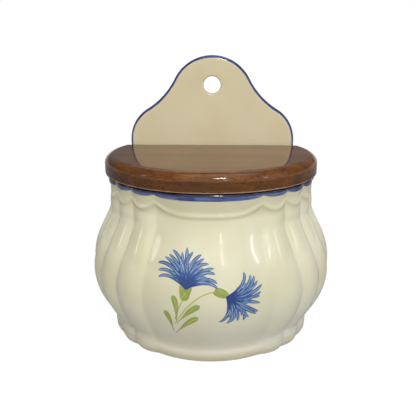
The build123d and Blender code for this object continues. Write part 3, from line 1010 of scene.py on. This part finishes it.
def scatter_group(templates, material):
    """Geometry nodes: puts the picked stroke on each point, turned and scaled, and joins them."""
    tree = bpy.data.node_groups.new("painted_strokes", "GeometryNodeTree")
    for side in ("INPUT", "OUTPUT"):
        tree.interface.new_socket("Geometry", in_out=side, socket_type="NodeSocketGeometry")
    length_scale = tree.interface.new_socket(
        "Stroke length scale", in_out="INPUT", socket_type="NodeSocketFloat")
    length_scale.default_value = 1.0
    source = add_node(tree, "NodeGroupInput", {})
    kinds = add_node(tree, "GeometryNodeGeometryToInstance", {})
    for obj in reversed(templates):
        info = add_node(tree, "GeometryNodeObjectInfo", {
            "transform_space": "ORIGINAL", "Object": obj})
        tree.links.new(info.outputs["Geometry"], kinds.inputs["Geometry"])
    turn, reach, pick = [
        add_node(tree, "GeometryNodeInputNamedAttribute", {"data_type": kind, "Name": name})
        for name, kind in (("turn", "FLOAT"), ("reach", "FLOAT"), ("pick", "INT"))]
    rotation = add_node(tree, "ShaderNodeCombineXYZ", {"Y": turn})
    size = add_node(tree, "ShaderNodeMath", {
        "operation": "MULTIPLY", 0: reach, 1: source.outputs["Stroke length scale"]})
    put = add_node(tree, "GeometryNodeInstanceOnPoints", {
        "Points": source.outputs["Geometry"], "Instance": kinds, "Pick Instance": True,
        "Instance Index": pick, "Rotation": rotation, "Scale": size})
    real = add_node(tree, "GeometryNodeRealizeInstances", {"Geometry": put})
    paint = add_node(tree, "GeometryNodeSetMaterial", {"Geometry": real, "Material": material})
    add_node(tree, "NodeGroupOutput", {"Geometry": paint})
    return tree


def lay_on_belly(x, z, off):
    """Point above the front of the belly at x and z, off millimetres along the surface's normal."""
    phi = np.degrees(np.arcsin(np.clip(x / half_width(z), -0.95, 0.95)))
    for _ in range(6):
        px, _ = outside(phi, z)
        phi = phi + np.degrees((x - px) / (half_width(z) * np.cos(np.radians(phi))))
    d = 0.05
    here = np.stack([*outside(phi, z), z], 1)
    side = np.stack([*outside(phi + d, z), z], 1) - here
    up = np.stack([*outside(phi, z + d), z + d], 1) - here
    normal = np.cross(side, up)
    normal /= np.linalg.norm(normal, axis=1)[:, None]
    return here + normal * off[:, None]


def painted_spray(material):
    """Cornflower spray in brushed strokes, each a thin closed film sunk into the glaze."""
    x, z, turn, reach, pick, shade, pigment = np.array(spray_strokes(), float).T
    z = z + SPRAY_LIFT
    points = new_object("spray_points", [(px * MM, 0.0, pz * MM) for px, pz in zip(x, z)], [])
    for name, values in (("turn", -np.radians(turn)), ("reach", reach * MM), ("shade", shade),
                         ("pigment", pigment), ("layer", np.arange(len(x)))):
        set_attribute(points.data, name, values)
    set_attribute(points.data, "pick", pick, "INT")
    templates = [stroke_template(i) for i in range(len(TEMPLATES))]
    mod = points.modifiers.new("strokes", "NODES")
    mod.node_group = scatter_group(templates, material)
    bpy.context.view_layer.update()
    flat = evaluated_mesh(points, "painted_spray")
    for obj in [points] + templates:
        drop(obj)
    co = get_points(flat)
    level = np.zeros(len(flat.vertices))
    flat.attributes["layer"].data.foreach_get("value", level)
    laid = lay_on_belly(co[:, 0], co[:, 2], FILM_PROUD + LAYER_STEP * level)
    flat.vertices.foreach_set("co", (laid * MM).ravel())
    obj = show("painted_spray", flat)
    film = obj.modifiers.new("film", "SOLIDIFY")
    film.thickness = FILM_MM * MM
    film.offset = -1.0
    bpy.context.view_layer.update()
    final = evaluated_mesh(obj, "painted_spray")
    obj.modifiers.remove(film)
    obj.data = final
    bpy.data.meshes.remove(flat)
    shade_smooth(final, 40)
    return obj


# ------------------------------------------------------------ stage

def camera_ray(tree):
    """1 for the rays that come straight from the camera."""
    return add_node(tree, "ShaderNodeLightPath", {}).outputs["Is Camera Ray"]


def background_rays(tree):
    """1 for the rays that see the plain white background: direct, mirrored and passed through."""
    path = add_node(tree, "ShaderNodeLightPath", {})
    seen = path.outputs["Is Camera Ray"]
    for name in ("Is Glossy Ray", "Is Transmission Ray"):
        seen = add_node(tree, "ShaderNodeMath", {
            "operation": "MAXIMUM", 0: seen, 1: path.outputs[name]})
    return seen


def pale_floor():
    """Matt pale floor that keeps the shadow and fades to the white of the background."""
    mat, tree = new_material("pale_floor")
    where = add_node(tree, "ShaderNodeTexCoord", {})
    metres_away = add_node(tree, "ShaderNodeVectorMath", {
        "operation": "LENGTH", 0: where.outputs["Object"]})
    # painted shade: in mirrored rays the floor glows dimmer near the box, down to 0.35 of white;
    # camera rays see it at 0.92 or more
    glow, direct = [
        add_node(tree, "ShaderNodeMapRange", {
            **SMOOTH, "Value": metres_away, **dict(zip(SPAN, span))})
        for span in ((0.1, 1.5, 0.35, 0.92), (0.6, 2.5, 0.92, 0.99))]
    direct = add_node(tree, "ShaderNodeMath", {
        "operation": "MULTIPLY", 0: camera_ray(tree), 1: direct})
    glow = add_node(tree, "ShaderNodeMath", {"operation": "MAXIMUM", 0: glow, 1: direct})
    light = add_node(tree, "ShaderNodeEmission", {"Color": "FFFFFF", "Strength": glow})
    faint = add_node(tree, "ShaderNodeBsdfDiffuse", {"Color": "696969"})
    bright = add_node(tree, "ShaderNodeAddShader", {0: faint, 1: light})
    plain = add_node(tree, "ShaderNodeBsdfDiffuse", {"Color": "C6C5C1"})
    mix = add_node(tree, "ShaderNodeMixShader", {0: background_rays(tree), 1: plain, 2: bright})
    add_node(tree, "ShaderNodeOutputMaterial", {"Surface": mix})
    return mat


def surround():
    """Soft even light from all round, which the camera and low mirror rays see as plain white."""
    world = bpy.data.worlds.new("surround")
    bpy.context.scene.world = world
    world.use_nodes = True
    tree = world.node_tree
    tree.nodes.clear()
    aim = add_node(tree, "ShaderNodeTexCoord", {}).outputs["Generated"]
    _, _, rise = add_node(tree, "ShaderNodeSeparateXYZ", {"Vector": aim}).outputs
    low = add_node(tree, "ShaderNodeMapRange", {
        **SMOOTH, "Value": rise, "From Min": 0.14, "From Max": 0.05})
    low = add_node(tree, "ShaderNodeMath", {
        "operation": "MULTIPLY", 0: background_rays(tree), 1: low})
    seen = add_node(tree, "ShaderNodeMath", {"operation": "MAXIMUM", 0: camera_ray(tree), 1: low})
    soft = add_node(tree, "ShaderNodeBackground", {"Color": "F4F3F0", "Strength": 0.27})
    white = add_node(tree, "ShaderNodeBackground", {"Color": "FFFFFF", "Strength": 1.0})
    mix = add_node(tree, "ShaderNodeMixShader", {0: seen, 1: soft, 2: white})
    add_node(tree, "ShaderNodeOutputWorld", {"Surface": mix})


def direction(azimuth, elevation):
    """Unit vector towards degrees round from the front, to the right, and up."""
    turn, rise = math.radians(azimuth), math.radians(elevation)
    level = math.cos(rise)
    return Vector((math.sin(turn) * level, -math.cos(turn) * level, math.sin(rise)))


def softbox(name, azimuth, elevation, distance, size, power, colour="FFFFFF"):
    """Oblong lamp in metres and watts that looks at the belly from degrees round and up."""
    target = Vector((0, 0, 0.09))
    aim = direction(azimuth, elevation)
    light = bpy.data.lights.new(name, "AREA")
    light.shape = "RECTANGLE"
    light.size, light.size_y = size
    light.energy = power
    light.color = hex_rgb(colour)[:3]
    obj = bpy.data.objects.new(name, light)
    obj.location = target + aim * distance
    obj.rotation_euler = (-aim).to_track_quat("-Z", "Y").to_euler()
    bpy.context.scene.collection.objects.link(obj)


def stage():
    """Pale floor, white surround and soft studio light."""
    bpy.ops.mesh.primitive_plane_add(size=60.0, location=(0, 0, 0))
    floor = bpy.context.object
    floor.name = "floor"
    dress(floor, pale_floor())
    surround()
    softbox("front", 2, 30, 1.90, (2.4, 1.6), 13.6)
    softbox("right", 62, 24, 1.60, (1.2, 1.0), 3.5, "C4DAFF")
    softbox("lamp", 10, 40, 1.35, (0.18, 0.12), 5.6)
    softbox("ceiling", 20, 74, 1.60, (1.4, 0.8), 4.6)
    softbox("behind", 184, 50, 1.80, (1.2, 0.8), 2.2)
    softbox("middle_window", 14, 20, 1.40, (0.03, 0.26), 0.4)
    softbox("right_window", 54, 20, 1.40, (0.06, 0.30), 0.6)
    softbox("left_window", -67, 17, 1.40, (0.14, 0.26), 0.55)


def camera():
    """Close camera, a little above the object and to the right of its front."""
    azimuth, elevation, distance = 1.6, 17.41, 0.430
    focal_px, centre_px, frame_px = 573.05, 210.85, 416.0
    sensor_mm = 36.0
    target = Vector((0, AXIS_Y * MM, 0.09342))
    back = direction(azimuth, elevation)
    cam = bpy.data.cameras.new("camera")
    cam.sensor_width = sensor_mm
    cam.lens = focal_px / frame_px * sensor_mm
    cam.shift_x = -(centre_px - frame_px / 2) / frame_px
    obj = bpy.data.objects.new("camera", cam)
    obj.location = target + back * distance
    obj.rotation_euler = (-back).to_track_quat("-Z", "Y").to_euler()
    bpy.context.scene.collection.objects.link(obj)
    bpy.context.scene.camera = obj


# --------------------------------------------------------------- assembly

camera()
stage()

glaze_mat = tin_glaze()
wood_mat = varnished_wood()
brass_mat = brass()
fibre_mat = fibre()

box = fired_box()
dress(box, glaze_mat)
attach(box, "box")
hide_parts("ceramic_box", "ceramic_back_plate")

spray = painted_spray(painted_colours())
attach(spray, "box")

lid = lid_skin()
dress(lid, wood_mat)
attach(lid, "lid")
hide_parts("lid_board")

for node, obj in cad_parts.items():
    if node.startswith(("hinge_", "bracket_")):
        dress(obj, fibre_mat if node == "bracket_gaskets" else brass_mat)

bpy.context.scene.view_settings.view_transform = "Standard"
